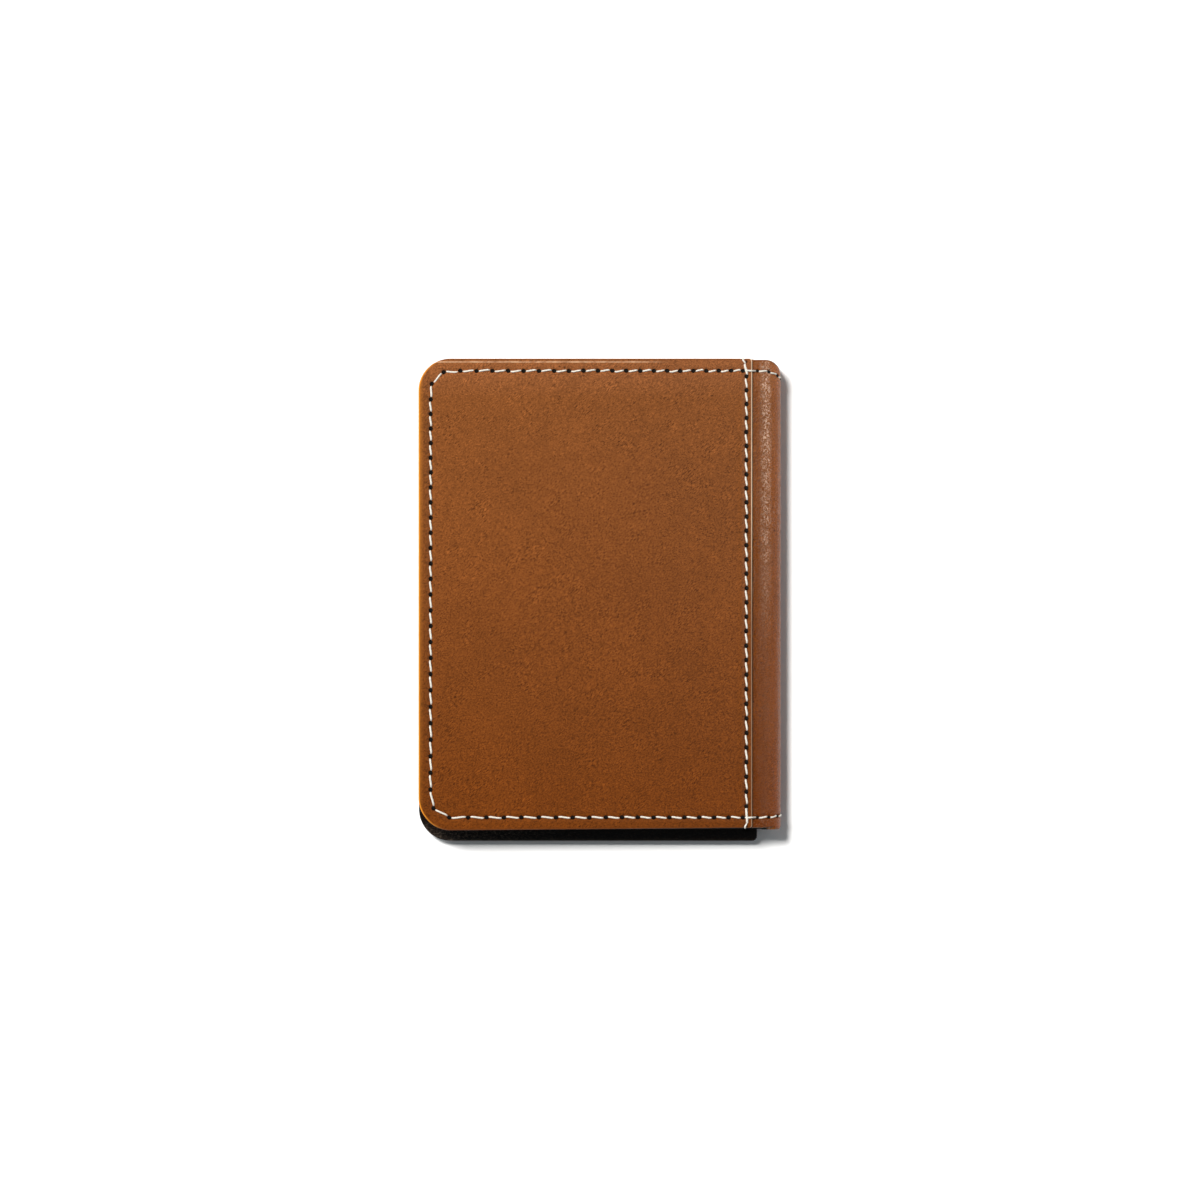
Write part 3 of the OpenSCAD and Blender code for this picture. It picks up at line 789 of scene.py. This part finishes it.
def thread(name, colour, dark, specular, skinned=True):
    made, tree = material(name)
    where = attribute(tree, "skin", "Vector") if skinned else millimetres(tree)
    fuzz = noise(tree, stretched(tree, where, (2.0, 1.2, 0.4)), 2.0, 4.0, 0.7)
    painted = mix(tree, remap(tree, fuzz, 0.3, 0.7), (*dark, 1), (*colour, 1))
    finish(tree, painted, 0.65, fuzz, 0.00006, Specular_IOR_Level=specular)
    return made


def window_film(name):
    made, tree = material(name)
    haze = noise(tree, millimetres(tree), 0.12, 3.0, 0.6)
    finish(tree, (0.60, 0.64, 0.66, 1), remap(tree, haze, 0.3, 0.7, 0.08, 0.2), haze, 0.0004, Alpha=0.05)
    return made


tan = tan_leather("tan_leather")
tan_fold = tan_leather("tan_leather_fold", fold=True)
black = black_leather("black_leather", (0.0042, 0.0030, 0.0024), 0.46, 0.00016)
black_lip = black_leather("black_leather_lip", (0.0036, 0.0013, 0.0004), 0.55, 0.00005, scuffed=True)
lining = black_leather("black_lining", (0.0060, 0.0050, 0.0045), 0.6, 0.00008)
black_cad = black_leather("black_leather_filler", (0.0042, 0.0032, 0.0027), 0.6, 0.00005, skinned=False)
white_thread = thread("white_thread", (0.86, 0.83, 0.76), (0.46, 0.41, 0.33), 0.3)
black_thread = thread("black_thread", (0.004, 0.0034, 0.003), (0.002, 0.0018, 0.0016), 0.08)
film = window_film("window_film")


# ------------------------------------------------------------------- leaves

panel_rect = (free_x, panel_x, tail_y, head_y)
panel_radii = (corner_r, panel_r, panel_r, corner_r)
all_holes = np.concatenate([edge_holes, fold_holes])
notches = ((fold_seam_x - 0.75, head_y), (fold_seam_x - 0.3, tail_y))   # the wound thread pulls the edge in
for side in ("front", "back"):
    sheet = leather_sheet(side, panel_rect, panel_radii, 0.0, cover_d, step=0.24, round_r=0.42,
                          tracks=(edge_track, fold_track), holes=all_holes, wavy=float(side == "front"),
                          notches=notches)
    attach(piece(f"{side}_outer_panel", [sheet], tan, [f"{side}_panel"]), f"{side}_leaf")

# Stations round the fold, on each side of its open crease. The lining's end is tucked in past it.
near_fold = [(x, 0, 0.0) for x in np.arange(panel_x - 0.3, fold_x - 0.05, 0.16)]
near_bend = [(fold_x, a, 0.0) for a in np.arange(0, 45.1, 1.5)]
far_bend = [(fold_x, a, 0.0) for a in np.arange(45, 90.1, 1.5)]
tuck = [(fold_x, a, 0.12) for a in (45.2, 48, 51)]
cover_t = lining_d - cover_d
lining_t = pockets_d - lining_d


def fold_point(side, angle, level):
    """A point on the fold's middle plane at y 0, in metres."""
    turn = math.radians(angle)
    r = bend_r - level
    flat = [fold_x + r * math.sin(turn), 0.0, cover_d + bend_r - r * math.cos(turn)]
    return [float(v) * MM for v in placed(flat, side)]


def bend_near(made, side, level):
    """Bakes a piece's transform into its mesh. The fold's points at 0 and 30 degrees are worked out but not
    used.
    """
    ends = [fold_point(side, 0, level), fold_point(side, 30, level)]
    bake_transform(made)


def bend_far(made, side, level):
    """Bakes a piece's transform into its mesh. The fold's points at 60 and 90 degrees are worked out but not
    used.
    """
    ends = [fold_point(side, 60, level), fold_point(side, 90, level)]
    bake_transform(made)


for side in ("front", "back"):
    near, far = ("5", "4") if side == "front" else ("1", "2")
    cover = fold_strip(side, free_stations(free_x, panel_x - 1, corner_r, cover_t) + near_fold + near_bend,
                       free_x, corner_r, 0.0, cover_t, True)
    made = piece(f"{side}_cover_leather", [cover], tan_fold,
                 [f"{side}_cover", f"spine_leather_{near}"])
    bend_near(made, side, cover_t)
    cover = fold_strip(side, far_bend, free_x, corner_r, 0.0, cover_t, True)
    replaced = [f"spine_leather_{far}"] + (["spine_leather_3"] if side == "back" else [])
    made = piece(f"{side}_fold_leather", [cover], tan_fold, replaced)
    bend_far(made, side, cover_t)

    x0, r_free = (free_x, corner_r) if side == "front" else (box_mm("back_lining")[0][0], 0.3)
    strip = fold_strip(side, free_stations(x0, fold_x - 0.4, r_free, lining_t) + near_bend[::3] + tuck,
                       x0, r_free, cover_t, lining_t, False)
    made = piece(f"{side}_lining_sheet", [strip], lining,
                 [f"{side}_lining", f"spine_lining_{near}"])
    bend_near(made, side, cover_t + lining_t)
    strip = fold_strip(side, far_bend[::3], x0, r_free, cover_t, lining_t, False)
    replaced = [f"spine_lining_{far}"] + (["spine_lining_3"] if side == "back" else [])
    made = piece(f"{side}_fold_lining", [strip], lining, replaced)
    bend_far(made, side, cover_t + lining_t)

# Inside leathers
side_track = np.array([[seam_x, side_seam_y], side_row[-1]])
fold_side_track = np.array([[fold_seam_x, tail_y + tail_end_hole], [fold_seam_x, head_y]])
open_holes = np.array([h for h in all_holes if h[1] > side_seam_y or abs(h[0] - fold_seam_x) < 0.1])
rect = (cash_low[0], cash_high[0], cash_low[1], cash_high[1])
sheet = leather_sheet("back", rect, (corner_r, cash_r, cash_r, corner_r), cash_high[2], cash_low[2], step=0.4,
                      round_r=0.32, tracks=(side_track, fold_side_track), holes=open_holes, strength=0.8)
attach(piece("cash_pocket_panel", [sheet], black_lip, ["cash_panel"]), "back_leaf")


def pocket(name, cad_node, side, low, high, extra=(), window=None):
    """A card pocket's leather, creased along its mouth."""
    rect = (low[0], high[0], low[1], high[1])
    face, back = (high[2], low[2]) if side == "back" else (closed_t - low[2], closed_t - high[2])
    mouth = np.array([[low[0] + 4, low[1] + 1.3], [high[0] - 4, low[1] + 1.3]])
    holes = [h for h in all_holes if h[1] > low[1]]
    radii = (pocket_r, pocket_r, pocket_r, corner_r)
    sheet = leather_sheet(side, rect, radii, face, back, step=0.4, round_r=0.22,
                          tracks=(edge_track, fold_track, mouth, *extra), holes=holes, strength=0.7,
                          window=window)
    made = piece(name, [sheet], black, [cad_node])
    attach(made, f"{side}_leaf")


stop_track = np.array([stop_holes[0], stop_holes[-1]])
pocket("back_lower_card_pocket", "back_card_slot_a", "back", slot_a_low, slot_a_high, (stop_track,))
pocket("back_upper_card_pocket", "back_card_slot_b", "back", slot_b_low, slot_b_high)
pocket("front_lower_card_pocket", "front_card_slot", "front", front_a_low, front_a_high, (stop_track,))
film_lap = 2.45
window_r = 3.0
opening = (film_low[0] + film_lap, film_high[0] - film_lap, film_low[1] + film_lap, film_high[1] - film_lap,
           window_r)
pocket("front_window_pocket", "id_window_frame", "front", window_low, window_high, window=opening)

for name in ("cash_pocket_welt", "back_slot_a_welt", "back_slot_b_welt", "front_slot_welt", "id_pocket_welt"):
    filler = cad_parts[name]
    filler.data.materials.clear()
    filler.data.materials.append(black_cad)
    bevel = filler.modifiers.new("rounding", "BEVEL")
    bevel.width = 0.12 * MM
    bevel.segments = 2
    bevel.limit_method = "ANGLE"
film_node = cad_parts["id_window_film"]
film_node.data.materials.clear()
film_node.data.materials.append(film)


# -------------------------------------------------------------------- seams

stitch_gap = 1.12
wrap_reach = 0.9     # from the leather's end to where the fold seam's last stitch starts
stitch_lift = {"front": -0.06, "back": -0.29}    # the wallet lies on its back leaf: the thread is flush there
loop_depth = {"front": 0.12, "back": 0.3}


def outer_seam(side, holes, slant, wavers):
    """White stitches between holes, on the outside of a leaf."""
    made = []
    for a, b, waver in zip(holes[:-1], holes[1:], wavers):
        jitter = rng.uniform(-0.035, 0.035, 2)
        lift = stitch_lift[side] + jitter[0] * (side == "front")
        path = stitch_path(a, b, 0.0, lift, slant, stitch_gap, waver + jitter[1])
        # Thinner thread at the head and the tail
        along_end = abs(b[0] - a[0]) > abs(b[1] - a[1])
        slim = (0.74 if b[1] > 0 else 0.80) if along_end else 0.88
        made.append(leaf_thread(path, side, thread_d * slim))
    return made


def crossing(side, y, sag):
    """The stitch of an end seam that steps down from the panel onto the cover."""
    up = 0.12 if side == "front" else -0.27
    points = [(run_end_x + 0.42, y, 0.35), (run_end_x + 0.75, y + sag, -up),
              (fold_seam_x + 0.4, y + sag, -up - 0.03), (panel_x - 0.15, y, -up + 0.05),
              (panel_x + 0.25, y, 0.45), (panel_x + 0.62, y, 1.0), (fold_x - 0.2, y, 1.35)]
    return leaf_thread(through(points, 7), side, thread_d * 0.76)


def edge_wrap(side, x, y, lean):
    """The end of the fold seam, wound over the leather's edge."""
    out = math.copysign(1, y)
    top = -0.1 if side == "front" else 0.28
    points = [(x + lean, y - out * 1.15, 0.35), (x + lean * 0.6, y - out * 0.8, top),
              (x, y - out * 0.42, top), (x - 0.05, y - out * 0.12, top + 0.3),
              (x - 0.05, y + out * 0.02, 1.0), (x, y - out * 0.1, 2.2)]
    return leaf_thread(through(points, 6), side, thread_d * 0.74)


fold_thread_d = thread_d * 0.78
for side in ("front", "back"):
    wavers = 0.12 * np.sin(np.arange(len(edge_holes)) * 1.7) * (edge_holes[:, 1] > head_seam_y - 1)
    threads = outer_seam(side, edge_holes, 0.13, wavers)
    threads += [crossing(side, head_seam_y, 0.05), crossing(side, tail_seam_y, -0.05)]
    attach(piece(f"{side}_edge_seam", threads, white_thread, [f"{side}_edge_stitches"]),
            f"{side}_leaf")
    threads = outer_seam(side, fold_holes[1:-1], 0.14, np.zeros(len(fold_holes)))
    threads += [edge_wrap(side, fold_seam_x - 0.25, tail_y, 0.3),
                edge_wrap(side, fold_seam_x - 0.7, head_y, 0.5)]
    aside, lift = (0.15, 0.02) if side == "front" else (0.0, stitch_lift[side])
    path = stitch_path((fold_seam_x + aside, tail_y + wrap_reach), fold_row[0], 0.0, lift, 0.05, 0.5)
    threads.append(leaf_thread(path, side, thread_d))
    head_end = (fold_seam_x - 0.2, head_y - wrap_reach)
    path = stitch_path(fold_row[-1], head_end, 0.0, stitch_lift[side], 0.2, 0.5)
    threads.append(leaf_thread(path, side, thread_d))
    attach(piece(f"{side}_fold_seam", threads, white_thread, [f"{side}_fold_stitches"]),
            f"{side}_leaf")
    knots = []
    for holes in (edge_holes, fold_holes[1:-1]):
        for k, hole in enumerate(holes):
            way = holes[min(k + 1, len(holes) - 1)] - holes[max(k - 1, 0)]
            knots.append(leaf_bead(hole, way, side, loop_depth[side]))
    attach(piece(f"{side}_bobbin_loops", knots, black_thread), f"{side}_leaf")

    near_threads, far_threads, near_knots, far_knots = [], [], [], []
    for end in ("head", "tail"):
        near_threads += [fold_stitch(side, end, 0, 30, fold_thread_d),
                         fold_stitch(side, end, 30, 60, fold_thread_d, (0.0, 0.5))]
        far_threads += [fold_stitch(side, end, 30, 60, fold_thread_d, (0.5, 1.0)),
                        fold_stitch(side, end, 60, 90, fold_thread_d)]
        near_knots += [fold_bead(side, end, 0), fold_bead(side, end, 30)]
        far_knots += [fold_bead(side, end, 60)] + ([fold_bead(side, end, 90)] if side == "back" else [])
    near, far = ("5", "4") if side == "front" else ("1", "2")
    made = piece(f"{side}_fold_end_seams", near_threads, white_thread,
                 [f"spine_stitches_{near}"])
    bend_near(made, side, cover_t)
    replaced = [f"spine_stitches_{far}"] + (["spine_stitches_3"] if side == "back" else [])
    made = piece(f"{side}_fold_middle_seams", far_threads, white_thread, replaced)
    bend_far(made, side, cover_t)
    bend_near(piece(f"{side}_fold_end_loops", near_knots, black_thread), side, cover_t)
    bend_far(piece(f"{side}_fold_middle_loops", far_knots, black_thread), side, cover_t)

# Where each leaf's seams show inside: from y to y, and the depth of the face that they lie on
levels = {
    "back": [(side_seam_y, mouth_a_y, cash_high[2]), (mouth_a_y, mouth_b_y, slot_a_high[2]),
             (mouth_b_y, head_y, slot_b_high[2])],
    "front": [(tail_y, mouth_a_y, pockets_d), (mouth_a_y, mouth_b_y, closed_t - front_a_low[2]),
              (mouth_b_y, head_y, closed_t - window_low[2])],
}


def inner_thread(side, a, b, face):
    """A black stitch on an inward-facing leather, whose face is at that depth."""
    path = stitch_path(a, b, face, 0.0, 0.08, 0.7)
    path[:, 2] = 2 * face - path[:, 2] - 0.02
    points = placed(path, side)
    return cord(points, -up_of(side, len(points)), inner_thread_d)


for side, steps in levels.items():
    threads = []
    for row in (edge_holes, fold_holes):
        for a, b in zip(row[:-1], row[1:]):
            for y0, y1, face in steps:
                if min(a[1], b[1]) > y0 and max(a[1], b[1]) < y1:
                    threads.append(inner_thread(side, a, b, face))
    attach(piece(f"{side}_inner_seams", threads, black_thread, [f"{side}_inner_stitches"]),
            f"{side}_leaf")
    threads = [inner_thread(side, a, b, steps[1][2]) for a, b in zip(stop_holes[:-1], stop_holes[1:])]
    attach(piece(f"{side}_card_stop_seam", threads, black_thread, [f"{side}_stop_stitches"]),
            f"{side}_leaf")


# -------------------------------------------------------------------- stage

def area_light(name, place, aim, size, power, colour=(1, 1, 1)):
    data = bpy.data.lights.new(name, "AREA")
    data.shape = "RECTANGLE"
    data.size, data.size_y = size
    data.energy = power
    data.color = colour
    made = bpy.data.objects.new(name, data)
    made.location = place
    way = Vector(aim) - Vector(place)
    made.rotation_euler = way.to_track_quat("-Z", "Y").to_euler()
    bpy.context.scene.collection.objects.link(made)
    return made


floor_mesh = bpy.data.meshes.new("floor")
half = 3.0
floor_mesh.from_pydata([(-half, -half, 0), (half, -half, 0), (half, half, 0), (-half, half, 0)], [],
                       [(0, 1, 2, 3)])
floor_material, floor_tree = material("floor")
paper = noise(floor_tree, millimetres(floor_tree), 0.5, 2.0)
finish(floor_tree, (0.93, 0.93, 0.93, 1), 0.9, paper, 0.00001, Specular_IOR_Level=0.1)
floor_mesh.materials.append(floor_material)
floor = bpy.data.objects.new("floor", floor_mesh)
bpy.context.scene.collection.objects.link(floor)

world = bpy.data.worlds.new("studio")
bpy.context.scene.world = world
world.use_nodes = True
backdrop = world.node_tree.nodes["Background"].inputs
backdrop["Color"].default_value = (0.92, 1.0, 1.05, 1)
backdrop["Strength"].default_value = 0.22

sun_data = bpy.data.lights.new("key", "SUN")
sun_data.energy = 3.7
sun_data.angle = math.radians(12)
sun_data.color = (1.0, 0.985, 0.96)
sun = bpy.data.objects.new("key", sun_data)
from_left, from_head = math.tan(math.radians(16.5)), math.tan(math.radians(19))
sun.rotation_euler = Vector((from_left, -from_head, -1)).to_track_quat("-Z", "Y").to_euler()
bpy.context.scene.collection.objects.link(sun)
sun.visible_glossy = False

area_light("rim_light", (-0.55, 0.35, 0.55), (0, 0, 0), (0.5, 0.5), 3.0)
# A small warm light for the gloss of the fold, which adds no diffuse light
fold_light = area_light("fold_light", (0.15, 0.035, 0.16), (0.038, 0.03, 0.012), (0.03, 0.08), 0.9,
                        (1.0, 0.88, 0.76))
fold_light.visible_diffuse = False

camera_data = bpy.data.cameras.new("camera")
camera_data.lens = 400
camera_data.sensor_width = 36
frame_width = 0.270
aim_x, aim_y = 0.06 * MM, 0.03 * MM
camera = bpy.data.objects.new("camera", camera_data)
distance = frame_width * camera_data.lens / camera_data.sensor_width
camera.location = (aim_x, aim_y, closed_t * MM + distance)
camera_data.clip_end = 10
bpy.context.scene.collection.objects.link(camera)
bpy.context.scene.camera = camera
bpy.context.scene.view_settings.view_transform = "Standard"
